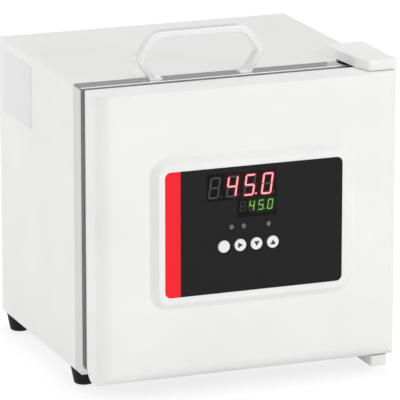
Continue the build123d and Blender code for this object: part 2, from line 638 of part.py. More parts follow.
with BuildPart() as upper_hinge_cover:
    with BuildSketch(Plane.XY.offset(CAB_TOP)):
        cap_outline(0)
    extrude(amount=CAP_H)
    corners = upper_hinge_cover.edges().filter_by(Axis.Z)
    fillet(corners.filter_by(lambda e: e.center().Y < CAP_FRONT + 1 or e.center().Y > CAP_BACK - 1), 2.5)
    top_edges = upper_hinge_cover.faces().sort_by(Axis.Z)[-1].edges()
    fillet(top_edges, 1.2)
    with BuildSketch(Plane.XY.offset(CAB_TOP)):
        cap_outline(CAP_WALL)
    extrude(amount=CAP_H - CAP_WALL, mode=Mode.SUBTRACT)
    under_x = (HINGE_X - 40, HINGE_X + 40)
    block(under_x, (CAP_FRONT - 1, BAND_BACK + 1), (CAB_TOP - 1, CAP_UNDER), Mode.SUBTRACT)
    for y in (BAND_BACK + 5, CAP_BACK - 6):
        post(HINGE_X - 14, y, 2.5, CAB_TOP, CAB_TOP + CAP_H - 1)
keep("upper_hinge_cover", upper_hinge_cover)

# Lower hinge block under the cabinet and the door
LOW_FRONT = CAB_FRONT - 41
LOW_H = 10.7
LOW_X = (HINGE_X - 8.4, HINGE_X + 8.4)
BOSS_TOP = DOOR_LOW - 0.1
with BuildPart() as lower_hinge_bracket:
    block(LOW_X, (LOW_FRONT, CAB_FRONT + 17), (CAB_LOW - LOW_H, CAB_LOW))
    fillet(lower_hinge_bracket.edges().filter_by(Axis.Z), 2.5)
    fillet(lower_hinge_bracket.faces().sort_by(Axis.Z)[0].edges(), 1.2)
    post(HINGE_X, HINGE_Y, BUSH_FLANGE_R, CAB_LOW - 1, BOSS_TOP)
    post(HINGE_X, HINGE_Y, PIN_R + LOOSE, CAB_LOW - LOW_H + 2, BOSS_TOP + 1, Mode.SUBTRACT)
keep("lower_hinge_bracket", lower_hinge_bracket)

# Lower hinge pin, standing in the block
with BuildPart() as lower_hinge_pin:
    post(HINGE_X, HINGE_Y, PIN_R, CAB_LOW - LOW_H + 2, DOOR_LOW + BUSH_DEPTH - 2)
    chamfer(lower_hinge_pin.edges().sort_by(Axis.Z)[-1], 0.8)
keep("lower_hinge_pin", lower_hinge_pin)

# Places of the board's posts, the hinge bosses and the side screws in the door
BOARD_POST_X = (PANEL_LEFT + 22.9, PANEL_LEFT + 122.9)
BOARD_POST_Z = (PANEL_TOP - 89.0, PANEL_TOP - 5.0)
HINGE_BOSS = BUSH_DEPTH + 3
KEY_PLAY = 0.25
SIDE_SCREW_Y = DOOR_FRONT + DOOR_R + 1.5
SIDE_SCREW_Z = tuple(MID_Z - 14.1 + 17.8 * step for step in (-1, 0, 1))



def door_blank(inset, back):
    """Make a block with the door's round front edges, smaller by the inset, that ends at a Y value."""
    depth = back - DOOR_FRONT - inset
    middle = back - depth / 2
    with BuildPart() as blank:
        with BuildSketch(Plane.XY.offset(DOOR_LOW + inset)) as above:
            with Locations((DOOR_X, middle)):
                Rectangle(DOOR_W - 2 * inset, depth)
            fillet(above.vertices().group_by(Axis.Y)[0], DOOR_R - inset)
        extrude(amount=DOOR_H - 2 * inset)
        with BuildSketch(side_plane(DOOR_X - DOOR_W)) as side:
            with Locations((middle, DOOR_MID)):
                Rectangle(depth, DOOR_H - 2 * inset)
            fillet(side.vertices().group_by(Axis.Y)[0], DOOR_R - inset)
        extrude(amount=2 * DOOR_W, mode=Mode.INTERSECT)
    return blank.part


# Door shell, one moulding with large round front edges and a raised pad for the panel
with BuildPart() as door_shell:
    add(door_blank(0, DOOR_BACK))
    with BuildSketch(front_plane(DOOR_FRONT + 0.01)):
        with Locations((0, PAD_MID_Z)):
            RectangleRounded(PAD_W - 4, PAD_H - 4, PAD_R)
    extrude(amount=PAD_RISE + 0.01, taper=PAD_TAPER)
    fillet(door_shell.faces().sort_by(Axis.Y)[0].outer_wire().edges(), 2.5)
    pad_foot = door_shell.edges().filter_by(lambda e: abs(e.center().Y - DOOR_FRONT) < 0.02)
    pad_foot = pad_foot.filter_by(lambda e: abs(e.center().X) < PAD_W / 2 + 2)
    fillet(pad_foot.filter_by(lambda e: abs(e.center().Z - PAD_MID_Z) < PAD_H / 2 + 2), 2.0)
    add(door_blank(DOOR_WALL, DOOR_BACK + 1), mode=Mode.SUBTRACT)
    with BuildSketch(front_plane(DOOR_FRONT + DOOR_WALL)):
        with Locations((0, PAD_MID_Z)):
            RectangleRounded(PAD_W - 20, PAD_H - 20, 5)
    extrude(amount=PAD_RISE, mode=Mode.SUBTRACT)
    with BuildSketch(front_plane(PAD_FRONT + PANEL_SINK)):
        with Locations((0, PANEL_MID_Z)):
            RectangleRounded(PANEL_W + 2 * LOOSE, PANEL_H + 2 * LOOSE, PANEL_R + LOOSE)
    extrude(amount=PANEL_SINK + 1, mode=Mode.SUBTRACT)
    for x in BOARD_POST_X:
        for z in BOARD_POST_Z:
            rod(x, z, 3.0, PAD_BACK - 0.5, BOARD_FACE)
    boss_x = (HINGE_X - 9, HINGE_X + 9)
    boss_y = (HINGE_Y - 9, DOOR_BACK)
    block(boss_x, boss_y, (DOOR_TOP - HINGE_BOSS, DOOR_TOP - 1))
    block(boss_x, boss_y, (DOOR_LOW + 1, DOOR_LOW + HINGE_BOSS))
    post(HINGE_X, HINGE_Y, BUSH_R + LOOSE, DOOR_TOP - BUSH_DEPTH - 1, DOOR_TOP + 1, Mode.SUBTRACT)
    post(HINGE_X, HINGE_Y, BUSH_FLANGE_R + LOOSE, DOOR_TOP - BUSH_FLANGE_T, DOOR_TOP + 1, Mode.SUBTRACT)
    post(HINGE_X, HINGE_Y, BUSH_R + LOOSE, DOOR_LOW - 1, DOOR_LOW + BUSH_DEPTH + 1, Mode.SUBTRACT)
    post(HINGE_X, HINGE_Y, BUSH_FLANGE_R + LOOSE, DOOR_LOW - 1, DOOR_LOW + BUSH_FLANGE_T, Mode.SUBTRACT)
    with BuildSketch(front_plane(PAD_BACK + 1)):
        window(RED_X, RED_Z, 0)
        window(GREEN_X, GREEN_Z, 0)
        with Locations(*((x, KEY_Z) for x in KEY_X)):
            Circle(KEY_R + KEY_PLAY)
        with Locations(*((x, LED_Z) for x in LED_X)):
            Circle(LED_R + LOOSE)
    extrude(amount=DOOR_WALL + 2, mode=Mode.SUBTRACT)
    for z in SIDE_SCREW_Z:
        with Locations(Location((DOOR_RIGHT - 1.5, SIDE_SCREW_Y, z), (0, 90, 0))):
            Cylinder(1.7, 5, mode=Mode.SUBTRACT)
keep("door_shell", door_shell)

# Screws in the right edge of the door
for number, z in enumerate(SIDE_SCREW_Z, 1):
    with BuildPart() as door_screw:
        with Locations(Location((DOOR_RIGHT + 0.45, SIDE_SCREW_Y, z), (0, 90, 0))):
            Cylinder(3.0, 0.9)
        fillet(door_screw.edges().sort_by(Axis.X)[-1], 0.6)
        with Locations(Location((DOOR_RIGHT - 1.3, SIDE_SCREW_Y, z), (0, 90, 0))):
            Cylinder(1.4, 3)
    keep(f"door_screw_{number}", door_screw)

# Inner door panel, a sheet with a raised field that faces the chamber
LINER_SHEET = 2.5
FIELD_PROUD = 9.0
FIELD_GAP = 14.0
FIELD_W = CHAMBER_W - 2 * FIELD_GAP
FIELD_H = CHAMBER_H - 2 * FIELD_GAP
FIELD_R = 14.0
with BuildPart() as door_liner:
    sheet_x = (DOOR_LEFT + DOOR_WALL + LOOSE, DOOR_RIGHT - DOOR_WALL - LOOSE)
    sheet_z = (DOOR_LOW + DOOR_WALL + LOOSE, DOOR_TOP - DOOR_WALL - LOOSE)
    block(sheet_x, (DOOR_BACK - LINER_SHEET, DOOR_BACK), sheet_z)
    with BuildSketch(front_plane(DOOR_BACK + FIELD_PROUD)):
        with Locations((0, MID_Z)):
            RectangleRounded(FIELD_W, FIELD_H, FIELD_R)
    extrude(amount=FIELD_PROUD)
    fillet(door_liner.faces().sort_by(Axis.Y)[-1].outer_wire().edges(), 4)
    with BuildSketch(front_plane(DOOR_BACK + FIELD_PROUD - LINER_SHEET)):
        with Locations((0, MID_Z)):
            RectangleRounded(FIELD_W - 2 * LINER_SHEET, FIELD_H - 2 * LINER_SHEET, FIELD_R - LINER_SHEET)
    extrude(amount=FIELD_PROUD, mode=Mode.SUBTRACT)
    notch_x = (boss_x[0] - LOOSE, boss_x[1] + LOOSE)
    notch_y = (DOOR_BACK - 4, DOOR_BACK + 1)
    block(notch_x, notch_y, (DOOR_TOP - HINGE_BOSS - LOOSE, DOOR_TOP), Mode.SUBTRACT)
    block(notch_x, notch_y, (DOOR_LOW, DOOR_LOW + HINGE_BOSS + LOOSE), Mode.SUBTRACT)
keep("door_liner", door_liner)

# Foam in the door, with a pocket for the electronics
with BuildPart() as door_foam:
    foam_front = DOOR_FRONT + DOOR_WALL
    foam_back = DOOR_BACK - LINER_SHEET
    add(door_blank(DOOR_WALL, foam_back))
    with BuildSketch(front_plane(DOOR_BACK + FIELD_PROUD - LINER_SHEET)):
        with Locations((0, MID_Z)):
            shrink = 2 * (LINER_SHEET + LOOSE)
            RectangleRounded(FIELD_W - shrink, FIELD_H - shrink, FIELD_R - LINER_SHEET)
    extrude(amount=FIELD_PROUD)
    pocket_z = (PAD_MID_Z - PAD_H / 2 + 10, PAD_MID_Z + PAD_H / 2 - 10)
    block((-PAD_W / 2 + 10, PAD_W / 2 - 10), (foam_front - 1, BOARD_BACK + 4), pocket_z, Mode.SUBTRACT)
    block(notch_x, (HINGE_Y - 9 - LOOSE, DOOR_BACK), (DOOR_TOP - HINGE_BOSS - LOOSE, DOOR_TOP), Mode.SUBTRACT)
    block(notch_x, (HINGE_Y - 9 - LOOSE, DOOR_BACK), (DOOR_LOW, DOOR_LOW + HINGE_BOSS + LOOSE), Mode.SUBTRACT)
keep("door_foam", door_foam)

# Door gasket, a hoop with a foot on the door, a narrow bellows and a magnet head
SEAL_FACE = CAB_FRONT - SEAL_GAP
seal_steps = (
    (DOOR_BACK, DOOR_BACK + 3.0, 0.0, 0.0),
    (DOOR_BACK + 3.0, DOOR_BACK + 9.0, 2.5, 3.0),
    (DOOR_BACK + 9.0, SEAL_FACE, 0.6, 2.0),
)
with BuildPart() as door_gasket:
    for near, far, outside, inside in seal_steps:
        with BuildSketch(front_plane(far)):
            with Locations(((SEAL_LEFT + SEAL_RIGHT) / 2, (SEAL_LOW + SEAL_TOP) / 2)):
                wide = SEAL_RIGHT - SEAL_LEFT - 2 * outside
                tall = SEAL_TOP - SEAL_LOW - 2 * outside
                RectangleRounded(wide, tall, 4)
                thick = 2 * (SEAL_W - inside - outside)
                RectangleRounded(wide - thick, tall - thick, 3, mode=Mode.SUBTRACT)
        extrude(amount=far - near)
keep("door_gasket", door_gasket)

# Control panel, a thin printed sheet with openings for window, keys and lamps
with BuildPart() as overlay_label:
    with BuildSketch(front_plane(PAD_FRONT + PANEL_SINK)):
        with Locations((0, PANEL_MID_Z)):
            RectangleRounded(PANEL_W, PANEL_H, PANEL_R)
        window(RED_X, RED_Z, 0, Mode.SUBTRACT)
        window(GREEN_X, GREEN_Z, 0, Mode.SUBTRACT)
        with Locations(*((x, KEY_Z) for x in KEY_X)):
            Circle(KEY_R + KEY_PLAY, mode=Mode.SUBTRACT)
        with Locations(*((x, LED_Z) for x in LED_X)):
            Circle(LED_R + LOOSE, mode=Mode.SUBTRACT)
    extrude(amount=PANEL_T)
keep("overlay_label", overlay_label)

# Dark display window with a flange behind the door's skin
WINDOW_BACK = PAD_BACK + 1.5
with BuildPart() as display_window:
    with BuildSketch(front_plane(PAD_BACK)):
        window(RED_X, RED_Z, -LOOSE)
        window(GREEN_X, (GREEN_Z[0], GREEN_Z[1] + 2), -LOOSE)
    extrude(amount=PAD_BACK - PANEL_FACE - 0.1)
    with BuildSketch(front_plane(WINDOW_BACK)):
        window(RED_X, RED_Z, 2)
        window(GREEN_X, (GREEN_Z[0], GREEN_Z[1] + 2), 2)
    extrude(amount=WINDOW_BACK - PAD_BACK)
keep("display_window", display_window)

# Circuit board with one small switch behind each key
SWITCH_TALL = 3.5
with BuildPart() as control_board:
    with BuildSketch(front_plane(BOARD_BACK)):
        window((BOARD_POST_X[0], BOARD_POST_X[1]), BOARD_POST_Z, 5)
    extrude(amount=BOARD_T)
    for x in KEY_X:
        block((x - 3, x + 3), (BOARD_FACE - SWITCH_TALL, BOARD_FACE), (KEY_Z - 3, KEY_Z + 3))
        rod(x, KEY_Z, 1.75, BOARD_FACE - SWITCH_TALL - 1, BOARD_FACE - SWITCH_TALL)
    board_left = BOARD_POST_X[0]
    block((board_left + 3, board_left + 11), (BOARD_FACE - 4, BOARD_FACE), (KEY_Z - 8, KEY_Z + 14))
    block((board_left - 1, board_left + 13), (BOARD_BACK, BOARD_BACK + 3), (KEY_Z + 24, KEY_Z + 50))
keep("control_board", control_board)

# Two readout modules between board and window
readouts = (
    ("red_display", RED_X, (RED_Z[0] + 1.4, RED_Z[1] - 1.4)),
    ("green_display", GREEN_X, (GREEN_Z[0] + 1.4, GREEN_Z[1] - 1.0)),
)
for name, x, z in readouts:
    with BuildPart() as readout:
        block((x[0] + 1.2, x[1] - 1.2), (WINDOW_BACK, BOARD_FACE), z)
        fillet(readout.edges().filter_by(Axis.Y), 0.6)
    keep(name, readout)

# Three lamp lenses, from the board out through the panel
for number, x in enumerate(LED_X, 1):
    with BuildPart() as led:
        rod(x, LED_Z, LED_R, PANEL_FACE - 0.5, BOARD_FACE)
        fillet(led.edges().sort_by(Axis.Y)[0], 1.0)
    keep(f"led_{number}", led)

# Four keys, each a cap with a flange behind the skin and a stem towards its switch
KEY_FACE = PANEL_FACE - KEY_PROUD
STEM_END = BOARD_FACE - SWITCH_TALL - 1 - KEY_TRAVEL - 0.2
for number, x in enumerate(KEY_X, 1):
    with BuildPart() as key:
        rod(x, KEY_Z, KEY_R, KEY_FACE, PAD_BACK + 0.2)
        fillet(key.edges().sort_by(Axis.Y)[0], 0.6)
        rod(x, KEY_Z, KEY_FLANGE_R, PAD_BACK + 0.1, PAD_BACK + 1.2)
        rod(x, KEY_Z, 2.2, PAD_BACK + 1, STEM_END)
    keep(f"key_{number}", key)

# Flanged bushes that turn on the two hinge pins
bushes = (
    ("upper_bush", DOOR_TOP - BUSH_DEPTH, DOOR_TOP - BUSH_FLANGE_T, DOOR_TOP - BUSH_FLANGE_T, DOOR_TOP),
    ("lower_bush", DOOR_LOW + BUSH_FLANGE_T, DOOR_LOW + BUSH_DEPTH, DOOR_LOW, DOOR_LOW + BUSH_FLANGE_T),
)
for name, low, top, flange_low, flange_top in bushes:
    with BuildPart() as bush:
        post(HINGE_X, HINGE_Y, BUSH_R, low, top)
        post(HINGE_X, HINGE_Y, BUSH_FLANGE_R, flange_low, flange_top)
        post(HINGE_X, HINGE_Y, PIN_R + RUNNING, low - 3, top + 3, Mode.SUBTRACT)
    keep(name, bush)

for name, piece in pieces.items():
    export_step(piece.part, f"parts/{name}.step")
print(len(pieces), "pieces")
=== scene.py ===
# %% [markdown]
# A bench-top laboratory incubator, dressed in Blender around a CAD model that is
# already exact. The CAD model is loaded first and stays where it is: every piece
# made here takes its place and size from it, in metres, so nothing is fitted by eye.

# %% Load the CAD model
import bmesh
import bpy
import json
import math
from mathutils import Matrix, Vector


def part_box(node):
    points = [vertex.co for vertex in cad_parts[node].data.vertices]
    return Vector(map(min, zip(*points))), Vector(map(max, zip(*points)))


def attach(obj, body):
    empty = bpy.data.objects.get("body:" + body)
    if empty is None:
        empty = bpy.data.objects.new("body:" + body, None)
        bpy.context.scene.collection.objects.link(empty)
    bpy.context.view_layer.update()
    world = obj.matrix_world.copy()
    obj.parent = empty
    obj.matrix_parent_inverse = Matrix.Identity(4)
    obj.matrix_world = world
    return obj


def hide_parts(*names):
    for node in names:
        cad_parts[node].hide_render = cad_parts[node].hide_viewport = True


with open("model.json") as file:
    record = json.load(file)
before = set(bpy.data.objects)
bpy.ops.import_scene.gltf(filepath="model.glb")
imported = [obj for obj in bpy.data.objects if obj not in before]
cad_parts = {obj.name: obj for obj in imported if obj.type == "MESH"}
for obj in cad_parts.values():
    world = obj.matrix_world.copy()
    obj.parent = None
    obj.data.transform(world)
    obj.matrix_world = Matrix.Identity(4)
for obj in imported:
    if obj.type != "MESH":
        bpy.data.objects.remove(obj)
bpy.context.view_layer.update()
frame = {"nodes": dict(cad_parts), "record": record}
MM = 0.001

# %% [markdown]
# The camera stands where the photographer stood: far away with a long lens, a little
# to the left of the front and a little above it. A long lens keeps the edges of the
# cabinet nearly parallel, as they are in the picture. The three numbers of its place
# are measured along its own right, up and forward directions.

# %% Camera
CAB_LEFT = -0.150
CAB_FRONT = -0.0915
CAB_LOW = 0.018
CAMERA_YAW = math.radians(21.12)
CAMERA_PITCH = math.radians(14.74)
CAMERA_BACK = 3.734
CAMERA_RIGHT = 0.110
CAMERA_UP = 0.1634
LENS = 360.0
SENSOR_WIDTH = 36.0
VIEW_DEPTH = 30.0


def photo_camera():
    """Place the camera by its distances from the cabinet's lower front left corner."""
    yaw, pitch = CAMERA_YAW, CAMERA_PITCH
    level = Vector((math.sin(yaw), math.cos(yaw), 0))
    forward = level * math.cos(pitch) - Vector((0, 0, math.sin(pitch)))
    right = Vector((math.cos(yaw), -math.sin(yaw), 0))
    up = right.cross(forward)
    corner = Vector((CAB_LEFT, CAB_FRONT, CAB_LOW))
    data = bpy.data.cameras.new("photo camera")
    data.lens = LENS
    data.sensor_width = SENSOR_WIDTH
    data.clip_end = VIEW_DEPTH
    camera = bpy.data.objects.new("photo camera", data)
    camera.location = corner + right * CAMERA_RIGHT + up * CAMERA_UP - forward * CAMERA_BACK
    camera.rotation_euler = (math.radians(90) - pitch, 0, -yaw)
    bpy.context.scene.collection.objects.link(camera)
    bpy.context.scene.camera = camera
    return camera


camera = photo_camera()
print("camera at", [round(v, 3) for v in camera.location])

# %% [markdown]
# White goods are hard to light: the walls must stay just below white, yet differ from
# each other. One strong lamp would burn one wall out and leave the next one grey, so
# most of the light comes from a pale world around the object, and three large soft
# lamps only add the small differences between front, side and top. What a mirror or
# glass sees of the world is set apart from the light it gives, with the Light Path
# node: white, with a grey stripe low down, which is what makes polished steel look
# like steel and not like white paint.

# %% World
WORLD_LIGHT = 0.64
STRIPE = 0.46
RAMP_STOPS = ((0.06, 0.95), (0.15, STRIPE), (0.38, STRIPE), (0.54, 0.98))


def background(nodes, links, strength, colour=None):
    """A background shader of one strength, white or with a linked colour."""
    shader = nodes.new("ShaderNodeBackground")
    shader.inputs["Color"].default_value = (1.0, 1.0, 1.0, 1)
    shader.inputs["Strength"].default_value = strength
    if colour:
        links.new(colour, shader.inputs["Color"])
    return shader


def seen_directly(nodes, links):
    """1 for rays of the camera, of mirrors and of glass, 0 for rays that carry light."""
    rays = nodes.new("ShaderNodeLightPath")
    total = rays.outputs["Is Camera Ray"]
    for other in ("Is Glossy Ray", "Is Transmission Ray"):
        larger = nodes.new("ShaderNodeMath")
        larger.operation = "MAXIMUM"
        links.new(total, larger.inputs[0])
        links.new(rays.outputs[other], larger.inputs[1])
        total = larger.outputs[0]
    return total


def studio_world():
    """A pale world that gives soft light and shows a grey stripe to mirrors."""
    world = bpy.data.worlds.new("studio")
    bpy.context.scene.world = world
    world.use_nodes = True
    nodes, links = world.node_tree.nodes, world.node_tree.links
    nodes.clear()
    place = nodes.new("ShaderNodeTexCoord")
    split = nodes.new("ShaderNodeSeparateXYZ")
    ramp = nodes.new("ShaderNodeValToRGB")
    ramp.color_ramp.elements[0].color = (1, 1, 1, 1)
    for height, grey in RAMP_STOPS:
        ramp.color_ramp.elements.new(height).color = (grey, grey, grey, 1)
    links.new(place.outputs["Generated"], split.inputs[0])
    links.new(split.outputs["Z"], ramp.inputs["Fac"])
    light = background(nodes, links, WORLD_LIGHT)
    mirrored = background(nodes, links, 1.0, ramp.outputs["Color"])
    mix = nodes.new("ShaderNodeMixShader")
    out = nodes.new("ShaderNodeOutputWorld")
    links.new(seen_directly(nodes, links), mix.inputs["Fac"])
    links.new(light.outputs[0], mix.inputs[1])
    links.new(mirrored.outputs[0], mix.inputs[2])
    links.new(mix.outputs[0], out.inputs["Surface"])


studio_world()
bpy.context.scene.view_settings.view_transform = "Standard"
print("world light", WORLD_LIGHT, "mirror stripe", STRIPE)

# %% [markdown]
# The three lamps are big squares, as softboxes are, so that no edge of a shadow shows.
# The front one stands to the right and the side one towards the back, so the rounded
# edge between front and side gets less of both and reads as an edge. Mirrors see only
# the front lamp, which draws the thin bright line along the band's front edge: the
# squares of the other two would clip to white in the polished band.
# The floor is matt paper. Where it is seen directly, its own colour is lowered and a glow
# makes up for it, so that it reads as the white of a cut-out picture and still keeps the
# soft shadow that the object throws.

# %% Lamps and floor
FLOOR_SIZE = 12
FLOOR_COLOUR = (0.90, 0.90, 0.90, 1)
FLOOR_SEEN_COLOUR = (0.34, 0.34, 0.34, 1)
FLOOR_GLOW = 0.74
AIM = (0, 0, 0.15)


def lamp(name, place, size, power, mirrored=False):
    """A square soft lamp at a place, turned to the middle of the object."""
    data = bpy.data.lights.new(name, "AREA")
    data.size = size
    data.energy = power
    thing = bpy.data.objects.new(name, data)
    thing.location = place
    thing.rotation_euler = (Vector(AIM) - Vector(place)).to_track_quat("-Z", "Y").to_euler()
    thing.visible_glossy = mirrored
    bpy.context.scene.collection.objects.link(thing)


lamp("front lamp", (1.0, -2.5, 1.1), 1.8, 24, mirrored=True)
lamp("side lamp", (-2.6, 1.1, 1.1), 1.8, 20)
lamp("top lamp", (0.3, 0.3, 3.0), 1.6, 17)


def paper_floor():
    """A wide sheet of matt paper under the feet."""
    bm = bmesh.new()
    bmesh.ops.create_grid(bm, x_segments=1, y_segments=1, size=FLOOR_SIZE)
    mesh = bpy.data.meshes.new("floor")
    bm.to_mesh(mesh)
    bm.free()
    sheet = bpy.data.objects.new("floor", mesh)
    bpy.context.scene.collection.objects.link(sheet)
    paint = bpy.data.materials.new("floor paper")
    paint.use_nodes = True
    nodes, links = paint.node_tree.nodes, paint.node_tree.links
    paper = nodes["Principled BSDF"]
    paper.inputs["Base Color"].default_value = FLOOR_COLOUR
    paper.inputs["Roughness"].default_value = 0.9
    paper.inputs["Specular IOR Level"].default_value = 0.1
    dim = nodes.new("ShaderNodeBsdfDiffuse")
    dim.inputs["Color"].default_value = FLOOR_SEEN_COLOUR
    glow = nodes.new("ShaderNodeEmission")
    glow.inputs["Strength"].default_value = FLOOR_GLOW
    both = nodes.new("ShaderNodeAddShader")
    mix = nodes.new("ShaderNodeMixShader")
    links.new(dim.outputs[0], both.inputs[0])
    links.new(glow.outputs[0], both.inputs[1])
    links.new(seen_directly(nodes, links), mix.inputs["Fac"])
    links.new(paper.outputs[0], mix.inputs[1])
    links.new(both.outputs[0], mix.inputs[2])
    links.new(mix.outputs[0], nodes["Material Output"].inputs["Surface"])
    mesh.materials.append(paint)


paper_floor()
print("stage ready:", len(bpy.data.lights), "lamps and a floor")

# %% [markdown]
# Every finish is a small node tree around one Principled shader. Colours are written as
# they look on a screen, 0 to 255, and turned into the linear values Blender wants. A
# fine noise in object space moves the roughness a little and lifts the surface, so that
# a lamp's reflection breaks up as it does on powder paint or moulded plastic. A second,
# much larger noise shifts the colour by a level or two, because no real wall is even.

# %% Finish helper
FINISHES = {}
NOISE_LOW = 0.3
NOISE_HIGH = 0.7
NOISE_DETAIL = 3.0
RELIEF_HEIGHT = 0.0005
MOTTLE_SCALE = 14.0
LEAST_ROUGH = 0.02


def screen(red, green, blue):
    """A colour as it looks on a screen, as linear values."""
    values = []
    for value in (red, green, blue):
        part = value / 255
        values.append(part / 12.92 if part <= 0.04045 else ((part + 0.055) / 1.055) ** 2.4)
    return (*values, 1)


def noise_on(nodes, links, scale, stretch=(1, 1, 1)):
    """A noise in object space, pulled long where the stretch is below 1."""
    place = nodes.new("ShaderNodeTexCoord")
    mapping = nodes.new("ShaderNodeMapping")
    mapping.inputs["Scale"].default_value = stretch
    noise = nodes.new("ShaderNodeTexNoise")
    noise.inputs["Scale"].default_value = scale
    noise.inputs["Detail"].default_value = NOISE_DETAIL
    links.new(place.outputs["Object"], mapping.inputs["Vector"])
    links.new(mapping.outputs["Vector"], noise.inputs["Vector"])
    return noise.outputs["Fac"]


def spread_to(nodes, links, value, low, high):
    """The middle of a noise's range, spread over the range from low to high."""
    level = nodes.new("ShaderNodeMapRange")
    level.inputs["From Min"].default_value = NOISE_LOW
    level.inputs["From Max"].default_value = NOISE_HIGH
    level.inputs["To Min"].default_value = low
    level.inputs["To Max"].default_value = high
    links.new(value, level.inputs["Value"])
    return level.outputs["Result"]


def scaled(colour, share):
    """A colour times a share, with nothing above full white."""
    return tuple(min(part * share, 1) for part in colour[:3]) + (1,)


def finish(
    name, colour, rough, grain=1200.0, bump=0.03, stretch=(1, 1, 1), spread=0.06, mottle=0.02, **sockets
):
    """A finish whose grain moves its roughness and lifts it, and whose colour is mottled."""
    paint = bpy.data.materials.new(name)
    paint.use_nodes = True
    nodes, links = paint.node_tree.nodes, paint.node_tree.links
    shader = nodes["Principled BSDF"]
    for socket, value in sockets.items():
        shader.inputs[socket.replace("_", " ")].default_value = value
    fine = noise_on(nodes, links, grain, stretch)
    roughness = spread_to(nodes, links, fine, max(rough - spread, LEAST_ROUGH), rough + spread)
    links.new(roughness, shader.inputs["Roughness"])
    relief = nodes.new("ShaderNodeBump")
    relief.inputs["Strength"].default_value = bump
    relief.inputs["Distance"].default_value = RELIEF_HEIGHT
    links.new(fine, relief.inputs["Height"])
    links.new(relief.outputs["Normal"], shader.inputs["Normal"])
    broad = noise_on(nodes, links, MOTTLE_SCALE)
    tint = nodes.new("ShaderNodeMixRGB")
    tint.inputs["Color1"].default_value = scaled(colour, 1 - mottle)
    tint.inputs["Color2"].default_value = scaled(colour, 1 + mottle)
    links.new(spread_to(nodes, links, broad, 0.0, 1.0), tint.inputs["Fac"])
    links.new(tint.outputs["Color"], shader.inputs["Base Color"])
    FINISHES[name] = paint
    return paint


print("finish helper ready")

# %% [markdown]
# The sheet metal is powder coated in a warm white, which leaves the fine orange peel of
# paint that has flowed out. The door and the hinge cap are moulded plastic with a finer,
# drier spark texture. The handle is the same plastic from a polished mould: it has a
# clear coat here, so its upper faces mirror the darker part of the room and look
# greyer than the cabinet under them.

# %% Painted steel and moulded plastic
finish("white_paint", screen(236, 236, 235), 0.40, grain=900, bump=0.06)
finish("white_plastic", screen(239, 239, 238), 0.46, grain=2600, bump=0.06)
finish(
    "handle_plastic", screen(238, 238, 238), 0.24, grain=600, bump=0.01, spread=0.03,
    Coat_Weight=1.0, Coat_Roughness=0.08, Coat_IOR=1.65,
)
finish("frame_plastic", screen(226, 227, 227), 0.45, grain=1800, bump=0.05)
finish("plug_plastic", screen(226, 226, 226), 0.50, grain=2600, bump=0.05)
finish("black_plastic", screen(30, 30, 31), 0.42, grain=1800, bump=0.10)
finish("bush_nylon", screen(225, 223, 214), 0.5, grain=1500, bump=0.05)
finish("key_white", screen(237, 237, 234), 0.42, grain=2600, bump=0.05)
print("paint and plastics:", len(FINISHES))

# %% [markdown]
# The band round the cabinet's front is stainless steel, polished until it mirrors the
# room. Polishing leaves very fine lines along the sheet, so the noise is pulled long.
# The chamber, the shelf and its rails are the same steel with a brushed face, which is
# duller and has longer lines. Hidden brackets and the base are galvanised, with the
# large soft patches of zinc crystals.

# %% Metals
finish(
    "polished_steel", screen(201, 201, 202), 0.10, grain=900, bump=0.02,
    stretch=(0.05, 1, 0.05), spread=0.03, Metallic=1.0,
)
finish(
    "liner_steel", screen(200, 201, 202), 0.30, grain=1500, bump=0.05,
    stretch=(0.03, 1, 1), Metallic=1.0,
)
finish(
    "galvanised", screen(178, 180, 182), 0.42, grain=220, bump=0.05,
    spread=0.1, mottle=0.12, Metallic=1.0,
)
finish("pin_steel", screen(190, 190, 190), 0.25, grain=1500, bump=0.02, Metallic=1.0)
finish("plate_silver", screen(228, 228, 229), 0.40, grain=1500, bump=0.03, stretch=(1, 0.05, 1))
print("with metals:", len(FINISHES))

# %% [markdown]
# Rubber and foam scatter light inside and never mirror it. The feet are a hard black
# rubber with a matt, dusty face. The door's seal is soft grey vinyl. The foam between
# the walls is a yellow rigid foam, seen only if the cabinet is taken apart, like the
# red heater mat under the chamber and the green boards.

# %% Soft and hidden materials
finish("gasket_grey", screen(162, 163, 164), 0.55, grain=1600, bump=0.10)
finish("foot_rubber", screen(17, 17, 18), 0.62, grain=1400, bump=0.2, Specular_IOR_Level=0.25)
finish("foam", screen(224, 212, 160), 0.85, grain=500, bump=0.5, mottle=0.1)
finish("silicone_red", screen(168, 60, 44), 0.6, grain=1500, bump=0.1)
finish("board_green", screen(24, 92, 52), 0.35, grain=1500, bump=0.03, mottle=0.1)
finish("red_glow", screen(120, 24, 30), 0.4)
finish("green_glow", screen(60, 100, 45), 0.4)
print("with soft and hidden ones:", len(FINISHES))

# %% [markdown]
# The control panel is a thin polyester sheet, printed from behind: near black, with a
# red stripe down its left end. A printed stripe has no thickness, so it isn't modelled.
# The material compares the place across the sheet with one number, and gives red to
# the left of it. The sheet's face is very matt, which is why it stays black in a white
# room: most of what makes a black object look grey is the room's reflection on it.

# %% Panel sheet and lamp lenses
STRIPE_END = -0.073
PANEL_BLACK = screen(28, 28, 28)
PANEL_RED = screen(250, 36, 46)


